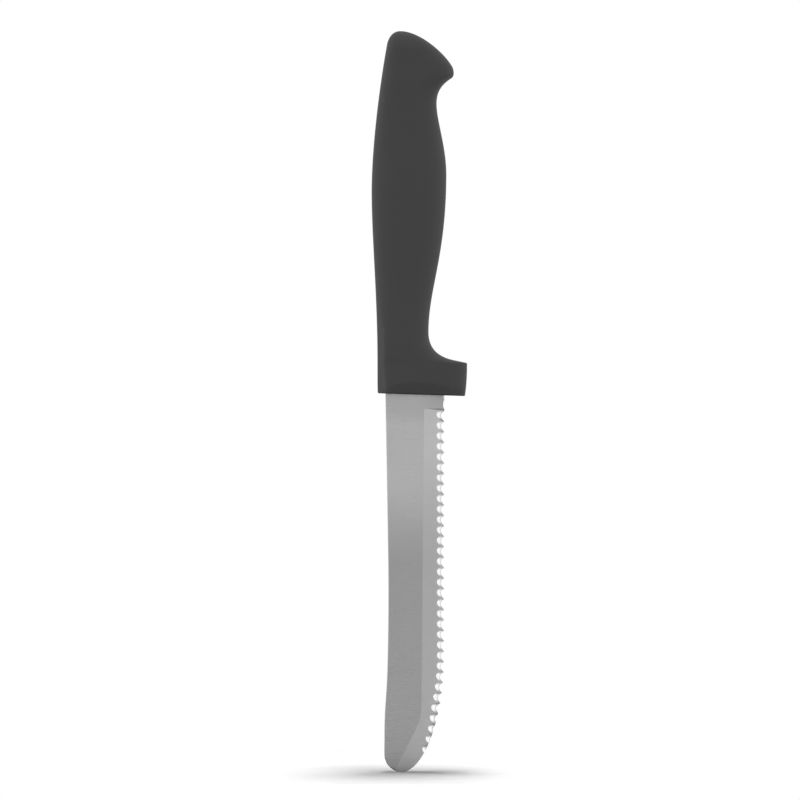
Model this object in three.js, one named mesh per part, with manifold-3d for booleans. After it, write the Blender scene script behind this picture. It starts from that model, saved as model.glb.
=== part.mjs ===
// A round-tipped serrated table knife: a stamped and ground steel blade with a plastic handle moulded
// round its tang. Millimetres, +Z up. The knife stands as it is stored in a block, with its tip down
// at z = 0. +X is the side of the cutting edge and finger guard, -X the spine, -Y the scalloped face.
import * as THREE from "three";
import { mergeVertices } from "three/addons/utils/BufferGeometryUtils.js";
import Module from "manifold-3d";

// Blade blank
const BLADE_LENGTH = 110; // tip to the front of the handle
const BLADE_WIDTH = 17.2; // spine to tooth tips at the heel
const BLADE_THICKNESS = 1.2;
const BLANK_EDGE_ROUND = 0.3; // tumbled edges of the stamping
const SPINE_HOLLOW = 0.9; // how far the spine dips in at mid-blade
const TIP_FLARE = 0.3; // how far the tip's spine stands out past the heel's
const TIP_CORNER = 5; // radius of the tip's spine-side corner
const TIP_SWEEP = 34; // height at which the edge starts to curve to the tip
const TIP_SWEEP_PULL = 17; // how long the edge holds its straight course
const TIP_BELLY_PULL = 7; // how long the tip holds its level course
const FLARE_END = 0.07; // places along the spine, as shares of the blade's length from the tip
const FLARE_HALF_END = 0.15;
const HOLLOW_START = 0.28;
const HOLLOW_MIDDLE = 0.5;
const HOLLOW_END = 0.77;
const HOLLOW_START_SHARE = 0.7; // share of the hollow reached at its start and left at its end
const HOLLOW_END_SHARE = 0.5;

// Tang
const HEEL_INSET = 3; // full-width heel sunk in the handle
const TANG_LENGTH = 74; // from the front of the handle to the end of the tang
const TANG_WIDTH = 9;
const TANG_OFFSET = -3.5; // tang centre from the blade's centre line
const TANG_END_ROUND = 3;
const KEY_HOLE_RADIUS = 2.6;
const KEY_HOLE_FIRST = 26; // first keying hole from the front of the handle
const KEY_HOLE_SPACING = 30;
const KEY_HOLE_COUNT = 2;
const TANG_CLEARANCE = 0.3; // round the edge of the tang; its flats touch the plastic
const HEEL_LINE = 0.15; // below the front of the handle, where the bare blade's flats end

// Ground bevel
const BEVEL_WIDTH = 5.9; // tooth tips to grind line at the heel
const BEVEL_DRIFT = 0.8; // how much wider the bevel is at its bend
const EDGE_THICKNESS = 0.45; // left by the bevel at the tooth tips
const PLUNGE_GAP = 4.1; // front of the handle to the start of the bevel
const PLUNGE_SLANT = 1.5; // run of the bevel's end wall along the blade, for its depth
const BEVEL_BEND = 15.5; // height where the grind line turns towards the tip
const BEVEL_BEND_REACH = 3.5; // length of the bend on each side
const BEVEL_TIP_ANGLE = 27; // degrees from the blade's length, after the bend
const WEDGE_OVERRUN = 2; // how far the grinding wedge runs on past the bevel on both sides

// Scalloped edge
const TOOTH_PITCH = 3.05;
const FIRST_GULLET = 1.9; // start of the bevel to the first gullet
const LAST_GULLET = 9; // lowest height of a gullet
const SCALLOP_RADIUS = 2.4; // rounded profile of the grinding wheel
const SCALLOP_ANGLE = 27; // degrees between the wheel's path and the blade's face
const GULLET_DEPTH = 1.5; // tooth tips to gullet, at mid-thickness
const GULLET_FADE = 0.3; // depth lost with each of the last gullets
const FADING_GULLETS = 4;

// Handle, side outline: distances across are from the blade's centre line
const HANDLE_LENGTH = 106;
const FRONT_RAKE = 2.6; // degrees, the front end leans towards the guard
const GUARD_REACH = 15.25;
const GUARD_LEAN = 0.8; // how far the guard's end leans in at the front
const GUARD_DEPTH = 9.2; // front to the guard's outer corner
const GUARD_CORNER = 0.4;
const GUARD_SHELF = 3.5; // straight stretch of the guard's top
const GUARD_SHELF_ANGLE = 12; // degrees
const FORM_START = -2; // the moulded form starts below the front, which is then trimmed
const NECK_BELLY = 4;
const NECK_HEIGHT = 18.2; // front to the narrowest place
const NECK_BACK = 10.9;
const SWELL_BELLY = 9.2;
const SWELL_BACK = 12.6;
const SWELL_SHARE = 0.69; // place of the palm swell between neck and waist
const WAIST_BELLY = 6.35;
const WAIST_DROP = 21.2; // top of the butt to the waist
const NOSE_REACH = 11.45;
const NOSE_DROP = 12.2; // top of the butt to the tip of the hooked pommel
const NOSE_ROUND = 1.5;
const BUTT_OFFSET = 4.3; // highest point of the butt, towards the back
const BUTT_CORNER = 3.8; // rounded corner between butt and back
const BUTT_BACK = 8.1;
const BUTT_SLOPE = 0.184; // how fast the back comes in just below the butt
const CROWN_INSET = 2.4; // the pommel's crown, in from the tip of its hook
const CROWN_LEVEL = 5.75; // level stretch of the crown, in front of its highest point
const BACK_SWELL_SHARE = 0.92; // the back swells a little lower than the belly

// Handle, pull of each curve as a share of the stretch that it shapes
const NOTCH_PULL = 0.6;
const NECK_PULL = 0.28;
const SWELL_PULL_BELOW = 0.52;
const SWELL_PULL_ABOVE = 0.4;
const WAIST_PULL_BELOW = 0.24;
const WAIST_PULL_ABOVE = 0.52;
const HOOK_PULL_ACROSS = 0.35;
const HOOK_PULL_UP = 0.78;
const CROWN_PULL = 0.37;
const BACK_PULL_START = 0.4;
const BACK_PULL_BELOW = 0.27;
const BACK_PULL_ABOVE = 0.32;
const BUTT_PULL_BELOW = 0.25;
const BUTT_PULL_SIDE = 0.1;
const BUTT_PULL_TOP = 0.55;

// Handle, half thickness at each place and the squareness of its sections
const GUARD_HALF = 6.4;
const SWELL_HALF = 7.4;
const WAIST_HALF = 6.8;
const POMMEL_HALF = 7.2;
const BUTT_ROUND = 6; // rounding of the butt, seen along the blade's faces
const GUARD_SQUARENESS = 2.7; // exponent of the section's superellipse
const GRIP_SQUARENESS = 2.25;
const POMMEL_SQUARENESS = 3;
const SQUARE_UP_TO = 9.1; // front to where the guard's squareness starts to fade
const ROUND_FROM = 36.4; // front to where the grip's squareness is reached

// Handle, bevelled front and thumb facets
const FRONT_HALF = 3.9; // half thickness of the front face itself
const FRONT_BEVEL_ANGLE = 36; // degrees from the blade's length
const THUMB_FACET_INSET = 2.6; // width of the facet, seen from the side
const THUMB_FACET_ANGLE = 61; // degrees from the blade's faces
const THUMB_FACET_HALF = 4.65; // half thickness at the facet's inner edge
const THUMB_FACET_LEAN = 3.4; // degrees, lets the facet run out up the back

// Fineness of the facets
const SECTION_POINTS = 32;
const OUTLINE_STEP = 2.5; // longest step along the handle's outline
const LEAST_STEPS = 3;
const BACK_POINTS = 600;
const SCALLOP_SIDES = 40;
const SCALLOP_TURN = 0.3; // share of a side, keeps the facets of neighbours apart
const CURVE_POINTS = 8;
const EDGE_POINTS = 200; // points on the tip's curve, for finding the edge at a height
const TOOL_MARGIN = 8; // how far a cutting tool stands out of the work
const SAME_PLACE = 1e-4; // points closer than this are one

const wasm = await Module();
wasm.setup();

const radians = THREE.MathUtils.degToRad;
const spineTip = -BLADE_WIDTH / 2 - TIP_FLARE;
const tipLow = spineTip + TIP_CORNER;
const swellHeight = THREE.MathUtils.lerp(NECK_HEIGHT, HANDLE_LENGTH - WAIST_DROP, SWELL_SHARE);
const waistHeight = HANDLE_LENGTH - WAIST_DROP;
const noseHeight = HANDLE_LENGTH - NOSE_DROP;

// A closed geometry as a solid that can be cut
function solid(geometry) {
  geometry.deleteAttribute("normal");
  geometry.deleteAttribute("uv");
  const merged = mergeVertices(geometry, SAME_PLACE);
  const mesh = new wasm.Mesh({
    numProp: 3,
    vertProperties: new Float32Array(merged.attributes.position.array),
    triVerts: new Uint32Array(merged.index.array),
  });
  return new wasm.Manifold(mesh);
}

// A solid back as a geometry
function geometryOf(body) {
  const mesh = body.getMesh();
  const geometry = new THREE.BufferGeometry();
  geometry.setAttribute("position", new THREE.BufferAttribute(mesh.vertProperties, 3));
  geometry.setIndex(new THREE.BufferAttribute(mesh.triVerts, 1));
  geometry.computeVertexNormals();
  return geometry;
}

// A skin through rings of points, closed by a point at each end
function loft(rings, firstEnd, lastEnd) {
  const count = rings[0].length;
  const points = [...rings.flat(), firstEnd, lastEnd];
  const faces = [];
  rings.slice(1).forEach((_, row) => {
    for (let i = 0; i < count; i += 1) {
      const a = row * count + i;
      const b = row * count + ((i + 1) % count);
      faces.push(a, b, b + count, a, b + count, a + count);
    }
  });
  const top = (rings.length - 1) * count;
  for (let i = 0; i < count; i += 1) {
    const next = (i + 1) % count;
    faces.push(points.length - 2, next, i);
    faces.push(points.length - 1, top + i, top + next);
  }
  const geometry = new THREE.BufferGeometry().setFromPoints(points);
  geometry.setIndex(faces);
  return geometry;
}

// The points of a closed outline, without those that fall on their neighbour
function outlinePoints(path) {
  const points = path.getPoints(CURVE_POINTS);
  return points.filter((point, i) => point.distanceTo(points.at(i - 1)) > SAME_PLACE);
}

// A flat plate in the blade's plane, its outline drawn in x and z, centred on y = 0
function plate(shape, thickness, round = 0) {
  const outline = new THREE.Shape(outlinePoints(shape));
  outline.holes = shape.holes.map((hole) => new THREE.Path(outlinePoints(hole)));
  const geometry = new THREE.ExtrudeGeometry(outline, {
    depth: thickness - 2 * round,
    bevelEnabled: round > 0,
    bevelThickness: round,
    bevelSize: round,
    bevelOffset: -round,
    bevelSegments: 1,
  });
  geometry.translate(0, 0, round - thickness / 2);
  return geometry.rotateX(Math.PI / 2);
}

// The curved stretch of the cutting edge, from the straight edge down to the tip
function tipCurve() {
  const edge = BLADE_WIDTH / 2;
  return new THREE.CubicBezierCurve(
    new THREE.Vector2(edge, TIP_SWEEP),
    new THREE.Vector2(edge, TIP_SWEEP - TIP_SWEEP_PULL),
    new THREE.Vector2(tipLow + TIP_BELLY_PULL, 0),
    new THREE.Vector2(tipLow, 0),
  );
}

// Where the tooth tips lie at a height
function edgeAt(height) {
  if (height >= TIP_SWEEP) return BLADE_WIDTH / 2;
  const points = tipCurve().getPoints(EDGE_POINTS);
  const next = points.findIndex((point) => point.y <= height);
  const share = (height - points[next].y) / (points[next - 1].y - points[next].y);
  return THREE.MathUtils.lerp(points[next].x, points[next - 1].x, share);
}

// The stamped outline: edge, round tip and hollow spine of the blade, heel and tang above it
function blankOutline() {
  const edge = BLADE_WIDTH / 2;
  const heel = BLADE_LENGTH + HEEL_INSET;
  const curve = tipCurve();
  const shape = new THREE.Shape();
  shape.moveTo(edge, heel);
  shape.lineTo(edge, TIP_SWEEP);
  shape.bezierCurveTo(curve.v1.x, curve.v1.y, curve.v2.x, curve.v2.y, curve.v3.x, curve.v3.y);
  shape.absarc(tipLow, TIP_CORNER, TIP_CORNER, -Math.PI / 2, -Math.PI, true);
  const spine = (share, inward) => new THREE.Vector2(inward - edge, share * BLADE_LENGTH);
  shape.splineThru([
    spine(FLARE_END, -TIP_FLARE),
    spine(FLARE_HALF_END, -TIP_FLARE / 2),
    spine(HOLLOW_START, SPINE_HOLLOW * HOLLOW_START_SHARE),
    spine(HOLLOW_MIDDLE, SPINE_HOLLOW),
    spine(HOLLOW_END, SPINE_HOLLOW * HOLLOW_END_SHARE),
    spine(1, 0),
  ]);
  shape.lineTo(-edge, heel);
  tangOutline(shape, 0);
  return shape;
}

// Draws the tang upwards from its shoulder, grown by a clearance
function tangOutline(shape, clearance) {
  const left = TANG_OFFSET - TANG_WIDTH / 2 - clearance;
  const right = TANG_OFFSET + TANG_WIDTH / 2 + clearance;
  const end = BLADE_LENGTH + TANG_LENGTH + clearance;
  const round = TANG_END_ROUND;
  shape.lineTo(left, BLADE_LENGTH + HEEL_INSET + clearance);
  shape.lineTo(left, end - round);
  shape.quadraticCurveTo(left, end, left + round, end);
  shape.lineTo(right - round, end);
  shape.quadraticCurveTo(right, end, right, end - round);
  shape.lineTo(right, BLADE_LENGTH + HEEL_INSET + clearance);
  for (let i = 0; i < KEY_HOLE_COUNT; i += 1) {
    const height = BLADE_LENGTH + KEY_HOLE_FIRST + i * KEY_HOLE_SPACING;
    const hole = new THREE.Path();
    hole.absarc(TANG_OFFSET, height, KEY_HOLE_RADIUS - clearance, 0, 2 * Math.PI, false);
    shape.holes.push(hole);
  }
}

// The wheel's path for the bevel: down beside the edge, then a bend to leave by the tip
function grindLine() {
  const start = new THREE.Vector2(BLADE_WIDTH / 2 - BEVEL_WIDTH, BLADE_LENGTH - PLUNGE_GAP);
  const bend = new THREE.Vector2(start.x - BEVEL_DRIFT, BEVEL_BEND);
  const down = bend.clone().sub(start).normalize();
  const away = new THREE.Vector2(0, -1).rotateAround(new THREE.Vector2(), -radians(BEVEL_TIP_ANGLE));
  const enter = bend.clone().addScaledVector(down, -BEVEL_BEND_REACH);
  const leave = bend.clone().addScaledVector(away, BEVEL_BEND_REACH);
  const exit = bend.clone().addScaledVector(away, BEVEL_BEND + TOOL_MARGIN);
  const path = new THREE.Path();
  path.moveTo(start.x, start.y);
  path.lineTo(enter.x, enter.y);
  path.quadraticCurveTo(bend.x, bend.y, leave.x, leave.y);
  path.lineTo(exit.x, exit.y);
  return path;
}

// A wedge swept along the grind line, which takes the bevel off one face (side is +1 or -1 in y)
function bevelTool(side) {
  const slope = (BLADE_THICKNESS - EDGE_THICKNESS) / 2 / BEVEL_WIDTH;
  const face = BLADE_THICKNESS / 2;
  const reach = BEVEL_WIDTH + BEVEL_DRIFT + WEDGE_OVERRUN;
  const section = [
    [-WEDGE_OVERRUN, face + slope * WEDGE_OVERRUN],
    [reach, face - slope * reach],
    [reach, face + TOOL_MARGIN],
    [-WEDGE_OVERRUN, face + TOOL_MARGIN],
  ];
  const path = grindLine();
  const rings = [];
  for (const curve of path.curves) {
    const steps = curve.isLineCurve ? 1 : CURVE_POINTS;
    for (let i = rings.length ? 1 : 0; i <= steps; i += 1) {
      const point = curve.getPoint(i / steps);
      const tangent = curve.getTangent(i / steps);
      const slant = rings.length ? 0 : PLUNGE_SLANT;
      const ring = section.map(([out, rise]) => {
        const along = point.y + tangent.x * out + slant * (rise - face);
        return new THREE.Vector3(point.x - tangent.y * out, side * rise, along);
      });
      rings.push(side > 0 ? ring.reverse() : ring);
    }
  }
  const middle = (ring) =>
    ring.reduce((sum, p) => sum.add(p), new THREE.Vector3()).divideScalar(ring.length);
  return solid(loft(rings, middle(rings[0]), middle(rings.at(-1))));
}

// One pass of the serrating wheel: a cylinder slanted through the edge, deeper on the -Y face
function scallopTool(height, depth) {
  const slant = radians(SCALLOP_ANGLE);
  const wheel = new THREE.CylinderGeometry(
    SCALLOP_RADIUS,
    SCALLOP_RADIUS,
    2 * TOOL_MARGIN,
    SCALLOP_SIDES,
  );
  wheel.rotateY((SCALLOP_TURN * 2 * Math.PI) / SCALLOP_SIDES);
  wheel.rotateZ(slant - Math.PI / 2);
  wheel.translate(
    edgeAt(height) - depth + SCALLOP_RADIUS * Math.sin(slant),
    -SCALLOP_RADIUS * Math.cos(slant),
    height,
  );
  return solid(wheel);
}

// The stamping, its flats divided just below the handle, so that the bare blade's flats end there
function blankBody() {
  const rake = radians(FRONT_RAKE);
  const line = (BLADE_LENGTH - HEEL_LINE) * Math.cos(rake);
  const stamping = solid(plate(blankOutline(), BLADE_THICKNESS, BLANK_EDGE_ROUND));
  const [tang, bare] = stamping.splitByPlane([Math.sin(rake), 0, Math.cos(rake)], line);
  return bare.add(tang.asOriginal());
}

function bladeGeometry() {
  let body = blankBody().subtract(bevelTool(1)).subtract(bevelTool(-1));
  const first = BLADE_LENGTH - PLUNGE_GAP - FIRST_GULLET;
  const count = Math.floor((first - LAST_GULLET) / TOOTH_PITCH) + 1;
  for (let i = 0; i < count; i += 1) {
    const fading = Math.max(0, i - (count - 1 - FADING_GULLETS));
    body = body.subtract(scallopTool(first - i * TOOTH_PITCH, GULLET_DEPTH - fading * GULLET_FADE));
  }
  return geometryOf(body);
}

// Eases a path to a place where it runs straight along the handle, with a pull at each end
function easeTo(path, x, height, leave, arrive) {
  const from = path.currentPoint;
  const rise = height - from.y;
  path.bezierCurveTo(from.x, from.y + leave * rise, x, height - arrive * rise, x, height);
}

// The finger side of the handle, from the front of the guard up to the top of the butt
function bellyCurve() {
  const shelf = radians(GUARD_SHELF_ANGLE);
  const path = new THREE.Path();
  path.moveTo(GUARD_REACH - GUARD_LEAN, FORM_START);
  path.quadraticCurveTo(GUARD_REACH, GUARD_DEPTH / 3, GUARD_REACH, GUARD_DEPTH - GUARD_CORNER);
  const shelfX = GUARD_REACH - GUARD_CORNER;
  path.quadraticCurveTo(GUARD_REACH, GUARD_DEPTH, shelfX, GUARD_DEPTH + GUARD_CORNER * Math.tan(shelf));
  path.lineTo(shelfX - GUARD_SHELF, path.currentPoint.y + GUARD_SHELF * Math.tan(shelf));
  const notch = path.currentPoint.clone();
  const inward = (notch.x - NECK_BELLY) * NOTCH_PULL;
  path.bezierCurveTo(
    notch.x - inward,
    notch.y + inward * Math.tan(shelf),
    NECK_BELLY,
    THREE.MathUtils.lerp(NECK_HEIGHT, notch.y, NOTCH_PULL),
    NECK_BELLY,
    NECK_HEIGHT,
  );
  easeTo(path, SWELL_BELLY, swellHeight, NECK_PULL, SWELL_PULL_BELOW);
  easeTo(path, WAIST_BELLY, waistHeight, SWELL_PULL_ABOVE, WAIST_PULL_BELOW);
  const under = noseHeight - NOSE_ROUND;
  path.bezierCurveTo(
    WAIST_BELLY,
    THREE.MathUtils.lerp(waistHeight, under, WAIST_PULL_ABOVE),
    THREE.MathUtils.lerp(WAIST_BELLY, NOSE_REACH, HOOK_PULL_ACROSS),
    THREE.MathUtils.lerp(waistHeight, under, HOOK_PULL_UP),
    NOSE_REACH - NOSE_ROUND / 2,
    under,
  );
  path.quadraticCurveTo(
    NOSE_REACH + NOSE_ROUND / 4,
    noseHeight - NOSE_ROUND / 2,
    NOSE_REACH - NOSE_ROUND / 4,
    noseHeight + NOSE_ROUND,
  );
  path.bezierCurveTo(
    NOSE_REACH - CROWN_INSET,
    THREE.MathUtils.lerp(noseHeight + NOSE_ROUND, HANDLE_LENGTH, CROWN_PULL),
    CROWN_LEVEL - BUTT_OFFSET,
    HANDLE_LENGTH,
    -BUTT_OFFSET,
    HANDLE_LENGTH,
  );
  return path;
}

// The back of the handle, from the front up to the top of the butt
function backCurve() {
  const corner = HANDLE_LENGTH - BUTT_CORNER;
  const path = new THREE.Path();
  path.moveTo(-NECK_BACK, FORM_START);
  path.lineTo(-NECK_BACK, NECK_HEIGHT / 2);
  easeTo(path, -SWELL_BACK, swellHeight * BACK_SWELL_SHARE, BACK_PULL_START, BACK_PULL_BELOW);
  const rise = corner - path.currentPoint.y;
  path.bezierCurveTo(
    -SWELL_BACK,
    path.currentPoint.y + rise * BACK_PULL_ABOVE,
    -BUTT_BACK - rise * BUTT_PULL_BELOW * BUTT_SLOPE,
    corner - rise * BUTT_PULL_BELOW,
    -BUTT_BACK,
    corner,
  );
  path.bezierCurveTo(
    -BUTT_BACK + BUTT_PULL_SIDE * BUTT_CORNER,
    corner + BUTT_CORNER / 2,
    -THREE.MathUtils.lerp(BUTT_OFFSET, BUTT_BACK, BUTT_PULL_TOP),
    HANDLE_LENGTH,
    -BUTT_OFFSET,
    HANDLE_LENGTH,
  );
  return path;
}

// A value that eases between places along the handle, given as [height, value] pairs
function easeAlong(places, height) {
  const next = places.findIndex(([at]) => at >= height);
  if (next < 1) return next === 0 ? places[0][1] : places.at(-1)[1];
  const [low, from] = places[next - 1];
  const [high, to] = places[next];
  return THREE.MathUtils.lerp(from, to, THREE.MathUtils.smoothstep(height, low, high));
}

function halfThickness(height) {
  const half = easeAlong(
    [
      [NECK_HEIGHT, GUARD_HALF],
      [swellHeight, SWELL_HALF],
      [waistHeight, WAIST_HALF],
      [noseHeight, POMMEL_HALF],
    ],
    height,
  );
  const up = Math.max(0, (height - (HANDLE_LENGTH - BUTT_ROUND)) / BUTT_ROUND);
  return half * Math.sqrt(1 - up * up);
}

// One section of the handle: a superellipse between the back and the belly
function handleSection(back, belly, height) {
  const middle = (back + belly) / 2;
  const wide = (belly - back) / 2;
  const half = halfThickness(height);
  const squareness = easeAlong(
    [
      [SQUARE_UP_TO, GUARD_SQUARENESS],
      [ROUND_FROM, GRIP_SQUARENESS],
      [swellHeight, GRIP_SQUARENESS],
      [noseHeight, POMMEL_SQUARENESS],
    ],
    height,
  );
  const ring = [];
  for (let i = 0; i < SECTION_POINTS; i += 1) {
    const turn = (2 * Math.PI * i) / SECTION_POINTS;
    const across = Math.sign(Math.cos(turn)) * Math.abs(Math.cos(turn)) ** (2 / squareness);
    const out = Math.sign(Math.sin(turn)) * Math.abs(Math.sin(turn)) ** (2 / squareness);
    ring.push(new THREE.Vector3(middle + wide * across, half * out, BLADE_LENGTH + height));
  }
  return ring;
}

// The moulding's outer form, lofted through its sections
function handleForm() {
  const belly = bellyCurve().curves.flatMap((curve) => {
    const steps = Math.max(LEAST_STEPS, Math.ceil(curve.getLength() / OUTLINE_STEP));
    return curve.getSpacedPoints(steps).slice(0, -1);
  });
  const back = backCurve().getSpacedPoints(BACK_POINTS);
  const backAt = (height) => back[back.findIndex((point) => point.y >= height)].x;
  const rings = belly.map((point) => handleSection(backAt(point.y), point.x, point.y));
  const front = new THREE.Vector3(0, 0, rings[0][0].z);
  const top = new THREE.Vector3(-BUTT_OFFSET, 0, BLADE_LENGTH + HANDLE_LENGTH);
  return solid(loft(rings, front, top));
}

// Trims the front end: a raked face with a bevel on each side
function frontTool() {
  const far = GUARD_REACH + SWELL_BACK;
  const bevelRise = (far - FRONT_HALF) / Math.tan(radians(FRONT_BEVEL_ANGLE));
  const shape = new THREE.Shape();
  shape.moveTo(FRONT_HALF, 0);
  shape.lineTo(far, bevelRise);
  shape.lineTo(far, -TOOL_MARGIN);
  shape.lineTo(-far, -TOOL_MARGIN);
  shape.lineTo(-far, bevelRise);
  shape.lineTo(-FRONT_HALF, 0);
  const tool = new THREE.ExtrudeGeometry(shape, { depth: 2 * far, bevelEnabled: false });
  tool.translate(0, 0, -far);
  tool.rotateY(Math.PI / 2);
  tool.rotateX(Math.PI / 2);
  tool.rotateY(radians(FRONT_RAKE));
  tool.translate(0, 0, BLADE_LENGTH);
  return solid(tool);
}

// Flattens the back's edge above the guard where the thumb lies (side is +1 or -1 in y)
function thumbTool(side) {
  const length = 2 * NECK_HEIGHT + 2 * TOOL_MARGIN;
  const tool = new THREE.BoxGeometry(TOOL_MARGIN, 4 * TOOL_MARGIN, length);
  tool.translate(-TOOL_MARGIN / 2, 0, length / 2 - TOOL_MARGIN);
  tool.rotateZ(-side * radians(90 - THUMB_FACET_ANGLE));
  tool.rotateY(-radians(THUMB_FACET_LEAN));
  tool.translate(THUMB_FACET_INSET - NECK_BACK, side * THUMB_FACET_HALF, BLADE_LENGTH);
  return solid(tool);
}

// The space that the heel and tang fill, with the plastic keys left standing in the holes
function tangPocket() {
  const edge = BLADE_WIDTH / 2 + TANG_CLEARANCE;
  const shoulder = BLADE_LENGTH + HEEL_INSET + TANG_CLEARANCE;
  const shape = new THREE.Shape();
  shape.moveTo(edge, shoulder);
  shape.lineTo(edge, BLADE_LENGTH - TOOL_MARGIN);
  shape.lineTo(-edge, BLADE_LENGTH - TOOL_MARGIN);
  shape.lineTo(-edge, shoulder);
  tangOutline(shape, TANG_CLEARANCE);
  return solid(plate(shape, BLADE_THICKNESS));
}

function handleGeometry() {
  let body = handleForm().subtract(frontTool());
  body = body.subtract(thumbTool(1)).subtract(thumbTool(-1));
  return geometryOf(body.subtract(tangPocket()));
}

const blade = new THREE.Mesh(
  bladeGeometry(),
  new THREE.MeshStandardMaterial({ color: 0xa8a8a8, roughness: 0.32, metalness: 1 }),
);
blade.name = "blade";

const handle = new THREE.Mesh(
  handleGeometry(),
  new THREE.MeshStandardMaterial({ color: 0x434343, roughness: 0.62, metalness: 0 }),
);
handle.name = "handle";

// The origin is under the middle of the knife's outline, at the height of the tip
const knife = new THREE.Group();
knife.add(blade, handle);
const centre = new THREE.Box3().setFromObject(knife).getCenter(new THREE.Vector3());
knife.position.set(-centre.x, -centre.y, 0);

export default knife;
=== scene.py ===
# %% [markdown]
# # A serrated table knife, dressed for its picture
# The real knife is two things: a strip of stainless steel that is stamped, ground to a bevel and
# scalloped along one face, and a plastic handle that is moulded round the strip's tang. It stands
# here as in a knife block, tip down. The measured model of both comes first, as a fixed frame, and
# every mesh below is made in that same frame, so nothing has to be moved afterwards.

# %% Load the measured model
import math

import bmesh
import bpy
from mathutils import Matrix, Vector
from mathutils.geometry import interpolate_bezier


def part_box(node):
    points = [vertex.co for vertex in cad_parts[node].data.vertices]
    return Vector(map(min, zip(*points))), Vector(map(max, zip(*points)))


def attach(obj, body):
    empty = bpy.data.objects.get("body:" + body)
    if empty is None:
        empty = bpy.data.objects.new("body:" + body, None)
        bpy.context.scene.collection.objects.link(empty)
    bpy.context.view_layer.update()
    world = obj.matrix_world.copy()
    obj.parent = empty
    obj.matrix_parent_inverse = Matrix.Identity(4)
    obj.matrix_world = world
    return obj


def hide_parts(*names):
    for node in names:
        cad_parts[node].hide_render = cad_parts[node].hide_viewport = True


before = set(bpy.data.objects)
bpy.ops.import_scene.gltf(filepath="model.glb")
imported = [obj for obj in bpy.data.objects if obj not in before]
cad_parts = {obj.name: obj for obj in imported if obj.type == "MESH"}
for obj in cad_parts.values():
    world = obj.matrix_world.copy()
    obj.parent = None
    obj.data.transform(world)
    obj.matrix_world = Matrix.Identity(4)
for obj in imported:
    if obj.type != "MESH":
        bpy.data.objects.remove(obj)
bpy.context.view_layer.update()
blade_low, blade_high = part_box("blade")
_, handle_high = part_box("handle")

# %% [markdown]
# ## Sizes
# Both pieces are drawn from the blade's centre line, with heights up from the tip. A few sizes are
# read from the frame, and the rest are the knife's own, in metres. The outline of a moulded handle
# is a chain of curves, so a small helper joins Bezier stretches into one run of points.

# %% Sizes that both pieces share
MM = 0.001
GUARD_REACH = 15.25 * MM
CENTRE = handle_high.x - GUARD_REACH
BLADE_LENGTH = 110 * MM
BLADE_WIDTH = 17.2 * MM
BLADE_THICKNESS = blade_high.y - blade_low.y
HANDLE_LENGTH = handle_high.z - BLADE_LENGTH
HEEL_INSET = 3 * MM
print("handle:", round(HANDLE_LENGTH / MM, 1), "mm long")
print("blade:", round(BLADE_THICKNESS / MM, 2), "mm thick")


# %% Curves joined into one run of points
def stretch(count, *knots):
    """Points of one Bezier stretch; three knots make a quadratic, two a straight line."""
    points = [Vector((x, 0, height)) for x, height in knots]
    if len(points) == 2:
        first, last = points
        points = [first, first.lerp(last, 1 / 3), first.lerp(last, 2 / 3), last]
    if len(points) == 3:
        first, pull, last = points
        points = [first, first.lerp(pull, 2 / 3), last.lerp(pull, 2 / 3), last]
    return interpolate_bezier(*points, count)


def chain(*stretches):
    """One run of points through all the stretches, each joint kept once."""
    run = list(stretches[0])
    for points in stretches[1:]:
        run += points[1:]
    return run


def mesh_object(name, bm):
    """A finished object from a bmesh, at the origin."""
    mesh = bpy.data.meshes.new(name)
    bm.to_mesh(mesh)
    bm.free()
    piece = bpy.data.objects.new(name, mesh)
    bpy.context.scene.collection.objects.link(piece)
    return piece


def round_edges(bm, edges, radius, segments):
    """Gives edges a small round."""
    bmesh.ops.bevel(
        bm,
        geom=edges,
        offset=radius,
        affect="EDGES",
        segments=segments,
        profile=0.5,
        material=-1,
    )


# %% [markdown]
# ## The handle's side outline
# Seen from the side, the handle has a straight back with a soft palm swell, and a finger side with
# a square guard, a notch for the index finger, the swell, a waist and a hooked pommel. The two runs
# of points start just below the front of the handle, which is trimmed later, and meet at the butt.
# How long each curve holds its course is its pull, a share of the way to its other end.

# %% Belly and back of the handle
NECK_BELLY, NECK_BACK, NECK_HEIGHT = 4 * MM, 10.9 * MM, 18.2 * MM
SWELL_BELLY, SWELL_BACK = 9.2 * MM, 12.6 * MM
WAIST_BELLY, WAIST_HEIGHT = 6.35 * MM, HANDLE_LENGTH - 21.2 * MM
SWELL_HEIGHT = NECK_HEIGHT + 0.69 * (WAIST_HEIGHT - NECK_HEIGHT)
BACK_HEIGHT = 0.92 * SWELL_HEIGHT
NOSE_REACH, NOSE_HEIGHT, NOSE_ROUND = 11.45 * MM, HANDLE_LENGTH - 12.2 * MM, 1.5 * MM
BUTT_OFFSET, BUTT_BACK, BUTT_CORNER = 4.3 * MM, 8.1 * MM, 3.8 * MM
CROWN_INSET, CROWN_LEVEL = 2.4 * MM, 5.75 * MM
GUARD_DEPTH, GUARD_CORNER, GUARD_LEAN = 9.2 * MM, 0.4 * MM, 0.8 * MM
SHELF_LENGTH, SHELF_SLOPE = 3.5 * MM, math.tan(math.radians(12))
BELOW_FRONT = -2 * MM
NOTCH_PULL, NECK_PULL = 0.6, 0.28
SWELL_PULL_BELOW, SWELL_PULL_ABOVE = 0.52, 0.4
WAIST_PULL_BELOW, WAIST_PULL_ABOVE = 0.24, 0.52
HOOK_PULL_ACROSS, HOOK_PULL_UP, CROWN_PULL = 0.35, 0.78, 0.37
BACK_PULL_START, BACK_PULL_BELOW, BACK_PULL_ABOVE = 0.4, 0.27, 0.32
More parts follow.
